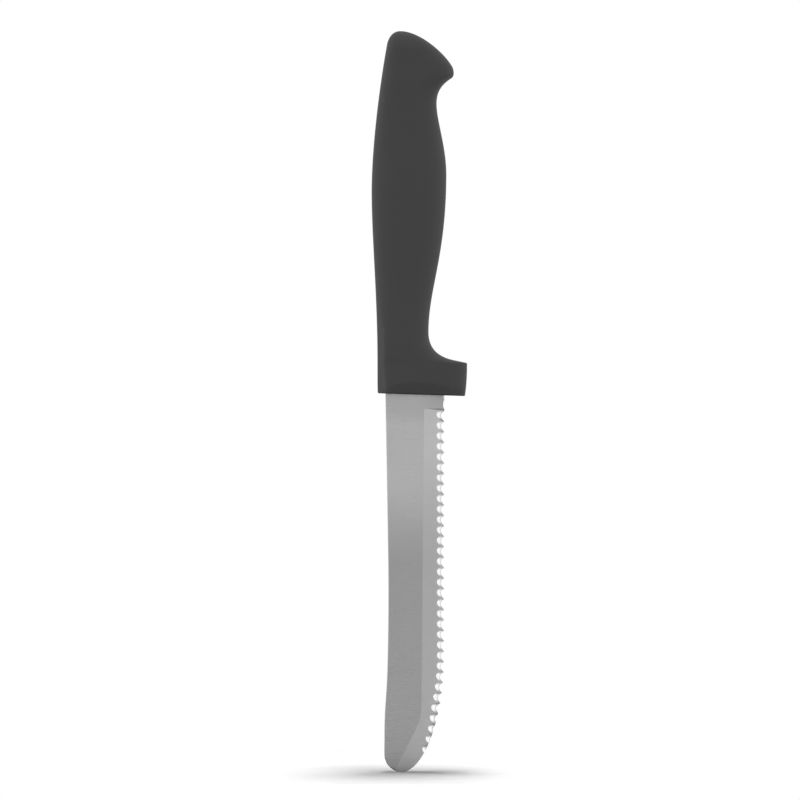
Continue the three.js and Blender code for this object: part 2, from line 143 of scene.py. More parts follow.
BUTT_SLOPE, BUTT_PULL_BELOW, BUTT_PULL_SIDE, BUTT_PULL_TOP = 0.184, 0.25, 0.1, 0.55


def mix(low, high, share):
    """The value that lies a share of the way from low to high."""
    return low + (high - low) * share


def sway(count, start, end, leave, arrive):
    """A stretch that leaves and arrives straight along the handle."""
    rise = end[1] - start[1]
    low_pull = (start[0], start[1] + leave * rise)
    high_pull = (end[0], end[1] - arrive * rise)
    return stretch(count, start, low_pull, high_pull, end)


def guard_run():
    """The guard and the notch behind it, up to the neck."""
    low = (GUARD_REACH - GUARD_LEAN, BELOW_FRONT)
    corner = (GUARD_REACH, GUARD_DEPTH - GUARD_CORNER)
    shelf = (GUARD_REACH - GUARD_CORNER, GUARD_DEPTH + GUARD_CORNER * SHELF_SLOPE)
    shelf_end = (shelf[0] - SHELF_LENGTH, shelf[1] + SHELF_LENGTH * SHELF_SLOPE)
    inward = NOTCH_PULL * (shelf_end[0] - NECK_BELLY)
    notch = (shelf_end[0] - inward, shelf_end[1] + inward * SHELF_SLOPE)
    neck_pull = (NECK_BELLY, mix(NECK_HEIGHT, shelf_end[1], NOTCH_PULL))
    return chain(
        stretch(60, low, (GUARD_REACH, GUARD_DEPTH / 3), corner),
        stretch(8, corner, (GUARD_REACH, GUARD_DEPTH), shelf),
        stretch(12, shelf, shelf_end),
        stretch(28, shelf_end, notch, neck_pull, (NECK_BELLY, NECK_HEIGHT)),
    )


def pommel_run():
    """The hook and the crown, from the waist up to the butt."""
    waist = (WAIST_BELLY, WAIST_HEIGHT)
    under = NOSE_HEIGHT - NOSE_ROUND
    hook_low = (WAIST_BELLY, mix(WAIST_HEIGHT, under, WAIST_PULL_ABOVE))
    hook_high = (
        mix(WAIST_BELLY, NOSE_REACH, HOOK_PULL_ACROSS),
        mix(WAIST_HEIGHT, under, HOOK_PULL_UP),
    )
    nose_low = (NOSE_REACH - NOSE_ROUND / 2, under)
    nose = (NOSE_REACH + NOSE_ROUND / 4, NOSE_HEIGHT - NOSE_ROUND / 2)
    nose_top = (NOSE_REACH - NOSE_ROUND / 4, NOSE_HEIGHT + NOSE_ROUND)
    crown = (NOSE_REACH - CROWN_INSET, mix(nose_top[1], HANDLE_LENGTH, CROWN_PULL))
    level = (CROWN_LEVEL - BUTT_OFFSET, HANDLE_LENGTH)
    return chain(
        stretch(24, waist, hook_low, hook_high, nose_low),
        stretch(10, nose_low, nose, nose_top),
        stretch(44, nose_top, crown, level, (-BUTT_OFFSET, HANDLE_LENGTH)),
    )


def belly_run():
    """The finger side, from the guard's front up to the butt."""
    neck = (NECK_BELLY, NECK_HEIGHT)
    swell = (SWELL_BELLY, SWELL_HEIGHT)
    waist = (WAIST_BELLY, WAIST_HEIGHT)
    return chain(
        guard_run(),
        sway(60, neck, swell, NECK_PULL, SWELL_PULL_BELOW),
        sway(30, swell, waist, SWELL_PULL_ABOVE, WAIST_PULL_BELOW),
        pommel_run(),
    )


def back_run():
    """The back, from the front up to the butt."""
    middle = (-NECK_BACK, NECK_HEIGHT / 2)
    swell = (-SWELL_BACK, BACK_HEIGHT)
    corner = (-BUTT_BACK, HANDLE_LENGTH - BUTT_CORNER)
    rise = corner[1] - BACK_HEIGHT
    swell_pull = (-SWELL_BACK, BACK_HEIGHT + BACK_PULL_ABOVE * rise)
    below = BUTT_PULL_BELOW * rise
    corner_low = (-BUTT_BACK - BUTT_SLOPE * below, corner[1] - below)
    corner_high = (-BUTT_BACK + BUTT_PULL_SIDE * BUTT_CORNER, corner[1] + BUTT_CORNER / 2)
    level = (-mix(BUTT_OFFSET, BUTT_BACK, BUTT_PULL_TOP), HANDLE_LENGTH)
    return chain(
        stretch(30, (-NECK_BACK, BELOW_FRONT), middle),
        sway(160, middle, swell, BACK_PULL_START, BACK_PULL_BELOW),
        stretch(160, swell, swell_pull, corner_low, corner),
        stretch(80, corner, corner_high, level, (-BUTT_OFFSET, HANDLE_LENGTH)),
    )


belly = belly_run()
back = back_run()
print("outline points:", len(belly), "on the belly,", len(back), "on the back")

# %% [markdown]
# ## The handle's sections
# Across the handle each section is a superellipse: rounder in the grip, squarer at the guard. Two
# flat facets take the edge off the back where the thumb lies, and two bevels thin the front end.
# Pressing the points softly onto those planes gives the small radius that a mould leaves.

# %% Section of the handle at a height
GUARD_HALF, SWELL_HALF, WAIST_HALF, POMMEL_HALF = 6.4 * MM, 7.4 * MM, 6.8 * MM, 7.2 * MM
BUTT_ROUND = 6 * MM
GUARD_SQUARENESS, GRIP_SQUARENESS, POMMEL_SQUARENESS = 2.7, 2.25, 3
SQUARE_UP_TO, ROUND_FROM = 9.1 * MM, 36.4 * MM
FRONT_HALF = 3.9 * MM
FRONT_BEVEL = math.radians(36)
FRONT_RAKE = Matrix.Rotation(math.radians(1.8), 3, "Y")
THUMB_INSET, THUMB_HALF = 2.6 * MM, 4.65 * MM
THUMB_TURN, THUMB_LEAN = math.radians(29), math.radians(3.4)
EDGE_SOFTNESS, PRESS_LIMIT = 0.07 * MM, 60
FACETS_UP_TO = 3 * NECK_HEIGHT


def ease_along(places, height):
    """A value that eases between (height, value) places."""
    low, value = places[0]
    for high, next_value in places:
        if height <= high:
            share = (height - low) / (high - low) if high > low else 0
            share = max(0, share)
            return mix(value, next_value, share * share * (3 - 2 * share))
        low, value = high, next_value
    return value


def half_thickness(height):
    """Half of the handle's thickness, rounded off at the butt."""
    low = (NECK_HEIGHT, GUARD_HALF), (SWELL_HEIGHT, SWELL_HALF)
    high = (WAIST_HEIGHT, WAIST_HALF), (NOSE_HEIGHT, POMMEL_HALF)
    up = max(0, (height - (HANDLE_LENGTH - BUTT_ROUND)) / BUTT_ROUND)
    return ease_along(low + high, height) * math.sqrt(max(0, 1 - up * up))


def press(point, on_plane, normal):
    """Moves a point that stands proud of a plane softly back onto it."""
    proud = (point - on_plane).dot(normal) / EDGE_SOFTNESS
    return point - normal * EDGE_SOFTNESS * math.log1p(math.exp(min(PRESS_LIMIT, proud)))


def facet_planes():
    """The thumb facets and the front bevels: a point on each and its outward normal."""
    planes = []
    for side in (-1, 1):
        turn = Matrix.Rotation(-THUMB_LEAN, 3, "Y") @ Matrix.Rotation(-side * THUMB_TURN, 3, "Z")
        on_facet = Vector((THUMB_INSET - NECK_BACK, side * THUMB_HALF, 0))
        planes.append((on_facet, turn @ Vector((-1, 0, 0))))
        bevel = Vector((0, side * math.cos(FRONT_BEVEL), -math.sin(FRONT_BEVEL)))
        planes.append((Vector((0, side * FRONT_HALF, 0)), FRONT_RAKE @ bevel))
    return planes


def shape_ring(ring, low, high, height, planes):
    """Moves the points of a unit circle onto the handle's section."""
    grip = (ROUND_FROM, GRIP_SQUARENESS), (SWELL_HEIGHT, GRIP_SQUARENESS)
    ends = (SQUARE_UP_TO, GUARD_SQUARENESS), (NOSE_HEIGHT, POMMEL_SQUARENESS)
    squareness = ease_along((ends[0], *grip, ends[1]), height)
    half = half_thickness(height)
    for vertex in ring:
        across, out, _ = vertex.co
        across = math.copysign(abs(across) ** (2 / squareness), across)
        out = math.copysign(abs(out) ** (2 / squareness), out)
        point = Vector((mix(low, high, (1 + across) / 2), half * out, height))
        if height < FACETS_UP_TO:
            for on_plane, normal in planes:
                point = press(point, on_plane, normal)
        vertex.co = point + Vector((CENTRE, 0, BLADE_LENGTH))


print("half thickness at the swell", round(half_thickness(SWELL_HEIGHT) / MM, 2), "mm")

# %% [markdown]
# ## Lofting the handle
# A circle is made for each height, shaped to its section, and bridged to the one before, which is
# how a loft is built by hand. The last ring closes on the top of the butt. A plane then trims the
# raked front, the cut is filled round the slot for the blade, and the rim gets a small round.

# %% Loft, trim and slot the handle
RING_POINTS = 112
RIM_ROUND, RIM_SEGMENTS = 0.35 * MM, 3
SLOT_GAP = 0.3 * MM
CLEAR_OF_FRONT = 1.8 * MM
HANDLE_SHARP = math.radians(32)


def back_at(height):
    """Where the back lies at a height."""
    for lower, upper in zip(back, back[1:]):
        if upper.z >= height:
            return mix(lower.x, upper.x, (height - lower.z) / (upper.z - lower.z))
    return back[-1].x


def loft_handle(bm):
    """The moulded form, open at the front."""
    planes = facet_planes()
    before = None
    heights = belly[:1] + [point for point in belly if point.z > CLEAR_OF_FRONT]
    for point in heights[:-1]:
        ring = bmesh.ops.create_circle(bm, cap_ends=False, radius=1, segments=RING_POINTS)["verts"]
        shape_ring(ring, back_at(point.z), point.x, point.z, planes)
        edges = list({edge for vertex in ring for edge in vertex.link_edges})
        if before:
            bmesh.ops.bridge_loops(bm, edges=before + edges)
        before = edges
    butt = Vector((CENTRE - BUTT_OFFSET, 0, BLADE_LENGTH + HANDLE_LENGTH))
    bmesh.ops.pointmerge(bm, verts=ring, merge_co=butt)
    return len(heights)


def front_height(x):
    """Height of the raked front face at a distance from the centre line."""
    normal = FRONT_RAKE @ Vector((0, 0, 1))
    return BLADE_LENGTH - normal.x / normal.z * x


def close_front(bm):
    """Trims the front, leaves a slot for the heel of the blade and rounds the rim."""
    everything = bm.verts[:] + bm.edges[:] + bm.faces[:]
    down = FRONT_RAKE @ Vector((0, 0, -1))
    bmesh.ops.bisect_plane(
        bm, geom=everything, plane_co=(CENTRE, 0, BLADE_LENGTH), plane_no=down, clear_outer=True
    )
    rim = [edge for edge in bm.edges if edge.is_boundary]
    wide = BLADE_WIDTH / 2 + SLOT_GAP
    thin = BLADE_THICKNESS / 2
    corners = [
        bm.verts.new((CENTRE + x, y, front_height(x)))
        for x, y in ((-wide, -thin), (wide, -thin), (wide, thin), (-wide, thin))
    ]
    mouth = [bm.edges.new((corner, corners[(i + 1) % 4])) for i, corner in enumerate(corners)]
    bmesh.ops.triangle_fill(bm, use_beauty=True, edges=rim + mouth)
    walls = bmesh.ops.extrude_edge_only(bm, edges=mouth)["geom"]
    deep = [item for item in walls if isinstance(item, bmesh.types.BMVert)]
    bmesh.ops.translate(bm, verts=deep, vec=(0, 0, HEEL_INSET + SLOT_GAP))
    bottom = [item for item in walls if isinstance(item, bmesh.types.BMEdge)]
    bmesh.ops.contextual_create(bm, geom=bottom)
    bmesh.ops.recalc_face_normals(bm, faces=bm.faces[:])
    round_edges(bm, rim, RIM_ROUND, RIM_SEGMENTS)
    return sum(not edge.is_manifold for edge in bm.edges)


bm = bmesh.new()
ring_count = loft_handle(bm)
open_edges = close_front(bm)
handle = mesh_object("moulded_handle", bm)
handle.data.shade_smooth()
handle.data.set_sharp_from_angle(angle=HANDLE_SHARP)
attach(handle, "root")
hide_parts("handle")
print("handle:", ring_count, "rings,", len(handle.data.polygons), "faces")
print("open edges:", open_edges)

# %% [markdown]
# ## The blade's blank
# The blank is a stamping: a flat outline with a slightly hollow spine and a round tip, cut from
# sheet and tumbled so that its edges are soft. In Blender that is a filled outline, extruded to the
# sheet's thickness, with its long edges bevelled. Only the heel is carried up into the handle's
# slot.

# %% Stamp the blank
SPINE_HOLLOW, TIP_FLARE, TIP_CORNER = 0.9 * MM, 0.3 * MM, 5 * MM
TIP_SWEEP, TIP_SWEEP_PULL, TIP_BELLY_PULL = 34 * MM, 17 * MM, 7 * MM
BLANK_ROUND, BLANK_SEGMENTS = 0.3 * MM, 4
EDGE = BLADE_WIDTH / 2
SPINE_TIP = -EDGE - TIP_FLARE
TIP_LOW = SPINE_TIP + TIP_CORNER
ROUND_PULL = 0.5523
TIP_STEPS, CORNER_STEPS, SPINE_STEPS = 90, 48, 24

# Share of the blade's length from the tip, and how far the spine lies in there.
spine_places = (
    (0.07, -TIP_FLARE),
    (0.15, -TIP_FLARE / 2),
    (0.28, 0.7 * SPINE_HOLLOW),
    (0.5, SPINE_HOLLOW),
    (0.77, SPINE_HOLLOW / 2),
    (1, 0),
)
tip_knots = (
    (EDGE, TIP_SWEEP),
    (EDGE, TIP_SWEEP - TIP_SWEEP_PULL),
    (TIP_LOW + TIP_BELLY_PULL, 0),
    (TIP_LOW, 0),
)


def spine_run():
    """The spine's gentle curve, from the tip's corner up to the heel."""
    knots = [Vector((SPINE_TIP, 0, TIP_CORNER))]
    knots += [Vector((inward - EDGE, 0, share * BLADE_LENGTH)) for share, inward in spine_places]
    run = [knots[0]]
    ends = [knots[0]] + knots + [knots[-1]]
    for before, start, end, after in zip(ends, ends[1:], ends[2:], ends[3:]):
        leave, arrive = (end - before) / 6, (after - start) / 6
        run += interpolate_bezier(start, start + leave, end - arrive, end, SPINE_STEPS)[1:]
    return run


def blank_outline():
    """The blank's outline, once round."""
    pull = TIP_CORNER * (1 - ROUND_PULL)
    tip = stretch(TIP_STEPS, *tip_knots)
    low, high = (TIP_LOW, 0), (SPINE_TIP, TIP_CORNER)
    corner = stretch(CORNER_STEPS, low, (SPINE_TIP + pull, 0), (SPINE_TIP, pull), high)
    top = BLADE_LENGTH + HEEL_INSET
    return chain(tip, corner, spine_run()) + [Vector((-EDGE, 0, top)), Vector((EDGE, 0, top))]


def runs_through(edge):
    """Whether an edge of the blank runs through the sheet, from face to face."""
    first, last = edge.verts
    return abs(first.co.y - last.co.y) > BLADE_THICKNESS / 2


def stamp_blank(bm):
    """A flat face in the outline, extruded through the sheet, with softened edges."""
    sheet = Vector((CENTRE, -BLADE_THICKNESS / 2, 0))
    outline = [bm.verts.new(point + sheet) for point in blank_outline()]
    face = bm.faces.new(outline)
    through = bmesh.ops.extrude_face_region(bm, geom=[face])["geom"]
    far = [item for item in through if isinstance(item, bmesh.types.BMVert)]
    bmesh.ops.translate(bm, verts=far, vec=(0, BLADE_THICKNESS, 0))
    bmesh.ops.recalc_face_normals(bm, faces=bm.faces[:])
    rim = [edge for edge in bm.edges if not runs_through(edge)]
    round_edges(bm, rim, BLANK_ROUND, BLANK_SEGMENTS)
    return len(outline)


bm = bmesh.new()
outline_count = stamp_blank(bm)
blade = mesh_object("ground_blade", bm)
print("blank outline:", outline_count, "points")

# %% [markdown]
# ## Grinding the bevel
# A wheel takes a thin wedge off both faces along the edge, starting with a clear line just below
# the handle and leaving by the tip. The wedge's section is swept along the grind line by extruding
# it step by step, and a boolean takes it away, as the wheel does.

# %% Sweep the grinding wedge
BEVEL_WIDTH, BEVEL_DRIFT, EDGE_THICKNESS = 5.9 * MM, 0.8 * MM, 0.45 * MM
PLUNGE = BLADE_LENGTH - 4.1 * MM
BEVEL_BEND, BEND_REACH, BEND_STEPS = 15.5 * MM, 3.5 * MM, 24
TIP_TURN = math.radians(27)
OUT_OF_WORK = 8 * MM
WEDGE_LEAD, WEDGE_OVERRUN, WEDGE_RISE = 1 * MM, 2 * MM, 4 * MM
SLOPE = (BLADE_THICKNESS - EDGE_THICKNESS) / 2 / BEVEL_WIDTH
PLUNGE_SLANT = 1.5


def grind_line():
    """The line where the bevel meets the flat, from the heel to past the tip."""
    start = Vector((EDGE - BEVEL_WIDTH, PLUNGE))
    bend = Vector((start.x - BEVEL_DRIFT, BEVEL_BEND))
    away = Vector((-math.sin(TIP_TURN), -math.cos(TIP_TURN)))
    enter = bend + (start - bend).normalized() * BEND_REACH
    leave = bend + away * BEND_REACH
    end = bend + away * (BEVEL_BEND + OUT_OF_WORK)
    curve = stretch(BEND_STEPS, enter, bend, leave)
    return chain(stretch(2, start, enter), curve, stretch(2, leave, end))


def wedge_section():
    """The wedge's section: distance from the grind line and height above the blade's middle."""
    face = BLADE_THICKNESS / 2
    reach = BEVEL_WIDTH + BEVEL_DRIFT + WEDGE_OVERRUN
    top = face + WEDGE_RISE
    ground = (-WEDGE_LEAD, face + SLOPE * WEDGE_LEAD), (reach, face - SLOPE * reach)
    return *ground, (reach, top), (-WEDGE_LEAD, top)


def sweep_wedge(bm, side):
    """The wedge for one face, extruded along the grind line from a slanted start."""
    line = grind_line()
    end_face = None
    for i, point in enumerate(line):
        ahead = (line[min(i + 1, len(line) - 1)] - line[max(i - 1, 0)]).normalized()
        outward = Vector((-ahead.z, 0, ahead.x))
        spots = [
            point + outward * out + Vector((CENTRE, side * rise, 0))
            for out, rise in wedge_section()
        ]
        if end_face is None:
            for spot in spots:
                spot.z += (side * spot.y - BLADE_THICKNESS / 2) * PLUNGE_SLANT
            end_face = bm.faces.new([bm.verts.new(spot) for spot in spots])
            continue
        step = bmesh.ops.extrude_face_region(bm, geom=[end_face])["geom"]
        if i > 1:
            bmesh.ops.delete(bm, geom=[end_face], context="FACES_ONLY")
        end_face = next(item for item in step if isinstance(item, bmesh.types.BMFace))
        for vertex, spot in zip(end_face.verts, spots):
            vertex.co = spot


bm = bmesh.new()
for side in (-1, 1):
    sweep_wedge(bm, side)
bmesh.ops.recalc_face_normals(bm, faces=bm.faces[:])
wedge = mesh_object("bevel_wedge", bm)
print("grinding wedge:", len(wedge.data.polygons), "faces")

# %% [markdown]
# ## Serrating the edge
# A wheel with a rounded rim cuts each gullet at a slant, deeper on one face, so that face shows a
# row of bright hollow facets and the other face stays plain. Each pass is one slanted cylinder,
# which also tilts a little towards the tip, so the teeth lean. Neighbours overlap, so the odd and
# even passes are cut in turn. The last passes near the tip grow shallow.

# %% Set out the serrating passes
TOOTH_PITCH, SCALLOP_RADIUS = 3.05 * MM, 2.4 * MM
SCALLOP_SLANT, SCALLOP_TILT = math.radians(27), math.radians(14)
FIRST_GULLET, LAST_GULLET = PLUNGE - 1.9 * MM, 6 * MM
GULLET_DEPTH, GULLET_FADE, FADING = 1.5 * MM, 0.28 * MM, 4
SCALLOP_SIDES = 180
gullets = int((FIRST_GULLET - LAST_GULLET) / TOOTH_PITCH) + 1


def edge_at(height):
    """Where the tooth tips lie at a height."""
    if height >= TIP_SWEEP:
        return EDGE
    for upper, lower in zip(tip_points, tip_points[1:]):
        if lower.z <= height:
            return mix(lower.x, upper.x, (height - lower.z) / (upper.z - lower.z))
    return TIP_LOW


def serrating_pass(bm, number):
    """One slanted cylinder through the edge."""
    height = FIRST_GULLET - number * TOOTH_PITCH
    depth = GULLET_DEPTH - GULLET_FADE * max(0, number - (gullets - 1 - FADING))
    away = SCALLOP_RADIUS * Vector((math.sin(SCALLOP_SLANT), -math.cos(SCALLOP_SLANT), 0))
    spot = Vector((CENTRE + edge_at(height) - depth, 0, height)) + away
    slanted = Matrix.Rotation(SCALLOP_SLANT, 4, "Z")
    lying = Matrix.Rotation(math.pi / 2 + SCALLOP_TILT, 4, "Y")
    bmesh.ops.create_cone(
        bm,
        cap_ends=True,
        segments=SCALLOP_SIDES,
        radius1=SCALLOP_RADIUS,
        radius2=SCALLOP_RADIUS,
        depth=2 * OUT_OF_WORK,
        matrix=Matrix.Translation(spot) @ slanted @ lying,
    )


tip_points = stretch(TIP_STEPS, *tip_knots)
passes = []
for first in (0, 1):
    bm = bmesh.new()
    for number in range(first, gullets, 2):
        serrating_pass(bm, number)
    passes.append(mesh_object("serrating_passes", bm))
print("gullets:", gullets)


# %% Cut the bevel and the gullets
BLADE_SHARP = math.radians(2.8)


def cut_away(piece, tool):
    """Takes the tool's form out of a piece and removes the tool."""
    boolean = piece.modifiers.new("cut", "BOOLEAN")
    boolean.operation = "DIFFERENCE"
    boolean.solver = "EXACT"
    boolean.object = tool
    depsgraph = bpy.context.evaluated_depsgraph_get()
    cut = bpy.data.meshes.new_from_object(piece.evaluated_get(depsgraph))
    piece.modifiers.remove(boolean)
    piece.data = cut
    bpy.data.objects.remove(tool)


for tool in [wedge] + passes:
    cut_away(blade, tool)
blade.data.shade_smooth()
blade.data.set_sharp_from_angle(angle=BLADE_SHARP)
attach(blade, "root")
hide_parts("blade")
print("blade:", len(blade.data.polygons), "faces")

# %% [markdown]
# ## Node helpers and shared effects
# Both finishes vary a little over the surface: fine lines from the grinding belt on the steel, a
# fine spark-eroded grain on the plastic, soft clouding on both, and edges that handling has rubbed.
# The clouding and the rubbed edges are node groups that each material places with its own values.
# The patterns read Object coordinates, in metres, and the rubbed edges the mesh's own pointiness.

# %% Node helpers
def link(tree, start, end):
    """Joins two sockets."""
    tree.links.new(start, end)


def place(tree, kind, **settings):
    """Adds a node, setting its properties and, by name, its inputs."""
    node = tree.nodes.new(kind)
    for name, value in settings.items():
        if hasattr(node, name):
            setattr(node, name, value)
        else:
            node.inputs[name.replace("_", " ")].default_value = value
    return node


def ranged(tree, value, low, high, to_low, to_high):
    """A value carried from one range to another, softly."""
    node = place(tree, "ShaderNodeMapRange", interpolation_type="SMOOTHSTEP")
    names = ("From Min", "From Max", "To Min", "To Max")
    for name, number in zip(names, (low, high, to_low, to_high)):
        node.inputs[name].default_value = number
    link(tree, value, node.inputs["Value"])
    return node.outputs["Result"]


def product(tree, *values):
    """All the values multiplied together."""
    result = values[0]
    for value in values[1:]:
        node = place(tree, "ShaderNodeMath", operation="MULTIPLY")
        link(tree, result, node.inputs[0])
        link(tree, value, node.inputs[1])
        result = node.outputs[0]
    return result


def new_group(name, inputs):
    """An empty group with a Vector, the named numbers and a Value: its tree, entry and exit."""
    group = bpy.data.node_groups.new(name, "ShaderNodeTree")
    group.interface.new_socket("Vector", in_out="INPUT", socket_type="NodeSocketVector")
    for socket in inputs:
        group.interface.new_socket(socket, in_out="INPUT", socket_type="NodeSocketFloat")
    group.interface.new_socket("Value", in_out="OUTPUT", socket_type="NodeSocketFloat")
    entry = group.nodes.new("NodeGroupInput")
    leave = group.nodes.new("NodeGroupOutput")
    return group, entry.outputs, leave.inputs


# %% Clouding and rubbed edges
RUBBED_FROM, RUBBED_TO = 0.51, 0.58
PATCH_FROM, PATCH_TO, PATCH_LEAST = 0.35, 0.65, 0.3


def clouding_group():
    """Slow and fine variation of a value about 1."""
    group, entry, leave = new_group("clouding", ("Scale", "Amount"))
    noise = place(group, "ShaderNodeTexNoise", Detail=4.0, Roughness=0.6)
    centred = place(group, "ShaderNodeMath", operation="SUBTRACT")
    centred.inputs[1].default_value = 0.5
    spread = place(group, "ShaderNodeMath", operation="MULTIPLY_ADD")
    spread.inputs[2].default_value = 1.0
    link(group, entry["Vector"], noise.inputs["Vector"])
    link(group, entry["Scale"], noise.inputs["Scale"])
    link(group, noise.outputs["Fac"], centred.inputs[0])
    link(group, centred.outputs[0], spread.inputs[0])
    link(group, entry["Amount"], spread.inputs[1])
    link(group, spread.outputs[0], leave["Value"])
    return group


def rubbed_group():
    """A value of 1 that rises or falls by an amount on worn convex edges, in patches."""
    group, entry, leave = new_group("rubbed_edges", ("Scale", "Amount"))
    geometry = group.nodes.new("ShaderNodeNewGeometry")
    edges = ranged(group, geometry.outputs["Pointiness"], RUBBED_FROM, RUBBED_TO, 0, 1)
    noise = place(group, "ShaderNodeTexNoise", Detail=3.0, Roughness=0.6)
    link(group, entry["Vector"], noise.inputs["Vector"])
    link(group, entry["Scale"], noise.inputs["Scale"])
    patches = ranged(group, noise.outputs["Fac"], PATCH_FROM, PATCH_TO, PATCH_LEAST, 1.0)
    worn = product(group, edges, patches, entry["Amount"])
    value = place(group, "ShaderNodeMath", operation="ADD")
    value.inputs[1].default_value = 1.0
    link(group, worn, value.inputs[0])
    link(group, value.outputs[0], leave["Value"])
    return group


clouding = clouding_group()
rubbed_edges = rubbed_group()
print("node groups:", clouding.name, "and", rubbed_edges.name)


# %% Start of a material
def new_material(name):
    """A material with its shader and Object coordinates."""
    material = bpy.data.materials.new(name)
    material.use_nodes = True
    tree = material.node_tree
    shader = tree.nodes["Principled BSDF"]
    coordinates = tree.nodes.new("ShaderNodeTexCoord").outputs["Object"]
    return material, tree, shader, coordinates


def effect(tree, group, coordinates, scale, amount):
    """The value of a shared effect, placed with its own scale and amount."""
    node = tree.nodes.new("ShaderNodeGroup")
    node.node_tree = group
    node.inputs["Scale"].default_value = scale
    node.inputs["Amount"].default_value = amount
    link(tree, coordinates, node.inputs["Vector"])
    return node.outputs["Value"]


def tinted(tree, colour, value):
    """A grey colour multiplied by a value, for Base Color."""
    tint = place(tree, "ShaderNodeVectorMath", operation="SCALE")
    tint.inputs[0].default_value = colour
    link(tree, value, tint.inputs["Scale"])
    return tint.outputs["Vector"]


# %% [markdown]
# ## Ground steel
# The belt runs across the blade, so its lines lie along X and are stretched noise, very fine along
# Z. They vary the tone and the roughness and carry a slight bump. One steel has four tones here:
# the satin flat, the ground bevel, lighter partly from its grind and partly as painted light for
# its tilt, the gullets, which the wheel leaves bright and whose near-white grey is partly a painted
# highlight, and the step where the bevel starts, dark with painted shade. The faces are told apart
# by how they are turned. The flat grows darker towards the tip, and painted shade darkens it close
# to the handle, most of all beside the edge. A gullet keeps its bright grey in its middle only:
# painted shade darkens the teeth between and the last hair's breadth before the far face.

# %% Tones of the steel
# The step's dark grey is painted shade, and the lighter greys of the bevel and the gullets are
# partly painted light.
STEEL_FLAT, STEEL_BEVEL, STEEL_GULLET, STEEL_STEP_SHADE = 0.478, 0.53, 0.95, 0.25
LINES_ALONG, LINES_ACROSS = 160.0, 9000.0
LINES_LOW, LINES_HIGH = 0.3, 0.7
STREAK_LOW, STREAK_HIGH = 0.975, 1.025
LINE_DEPTH, LINE_STRENGTH = 0.02 * MM, 0.15
STEEL_CLOUD_SCALE, STEEL_CLOUD_AMOUNT = 90.0, 0.08
STEEL_WEAR_SCALE, STEEL_WEAR_AMOUNT = 700.0, 0.08
# The flat and the bevel grow darker towards the tip.
DARKENS_BELOW = 0.54 * BLADE_LENGTH
FLAT_FULL_ABOVE, FLAT_AT_TIP = 0.79 * BLADE_LENGTH, 0.71
BEVEL_FULL_ABOVE, BEVEL_AT_TIP = 0.88 * BLADE_LENGTH, 0.79
HEEL_FROM, HEEL_TO = BLADE_LENGTH - 10 * MM, BLADE_LENGTH - 4 * MM
# Painted shade on the flat just under the handle, deepest beside the edge.
HEEL_SHADE, HEEL_SHADE_AT_EDGE = 0.09, 0.23
# Painted shade on the last hair's breadth before the far face of each gullet.
EDGE_SHADE_FROM, EDGE_SHADE_TO, EDGE_SHADE = 0.02 * MM, 0.2 * MM, 0.7
# Painted shade on the teeth between the gullets.
FLANK_FROM, FLANK_TO, FLANK_SHADE = 0.14, 0.46, 0.42


def belt_lines(tree, coordinates):
    """Fine lines across the blade."""
    stretched = place(tree, "ShaderNodeMapping", vector_type="POINT")
    stretched.inputs["Scale"].default_value = (LINES_ALONG, LINES_ALONG, LINES_ACROSS)
    link(tree, coordinates, stretched.inputs["Vector"])
    lines = place(tree, "ShaderNodeTexNoise", Scale=1.0, Detail=3.0, Roughness=0.55)
    link(tree, stretched.outputs["Vector"], lines.inputs["Vector"])
    return lines.outputs["Fac"]


def tip_tone(tree, axes, at_tip, full_above):
    """1 above a height, falling to a darker tone towards the tip."""
    return ranged(tree, axes["Z"], DARKENS_BELOW, full_above, at_tip, 1.0)


def heel_shade_tone(tree, axes, near_handle, near_edge):
    """Painted shade: falls from 1 towards the handle, and further on the edge side."""
    along = ranged(tree, axes["Z"], HEEL_FROM, HEEL_TO, 0, 1)
    across = ranged(tree, axes["X"], CENTRE, CENTRE + EDGE, near_handle, near_edge)
    tone = place(tree, "ShaderNodeMath", operation="SUBTRACT")
    tone.inputs[0].default_value = 1.0
    link(tree, product(tree, along, across), tone.inputs[1])
    return tone.outputs[0]


def flank_shade(tree, axes, matt):
    """Painted shade: 1 in the middle of each gullet, falling to a darker tone on the teeth between.
    """
    counted = place(tree, "ShaderNodeMath", operation="MULTIPLY_ADD")
    counted.inputs[1].default_value = 1 / TOOTH_PITCH
    counted.inputs[2].default_value = -FIRST_GULLET / TOOTH_PITCH
    link(tree, axes["Z"], counted.inputs[0])
    # The darker tone on the teeth is painted shade.
    from_middle = place(tree, "ShaderNodeMath", operation="PINGPONG")
    from_middle.inputs[1].default_value = 0.5
    link(tree, counted.outputs[0], from_middle.inputs[0])
    return ranged(tree, from_middle.outputs[0], FLANK_FROM, FLANK_TO, 1.0, matt)


print("belt lines about", round(1 / LINES_ACROSS / MM, 2), "mm apart")


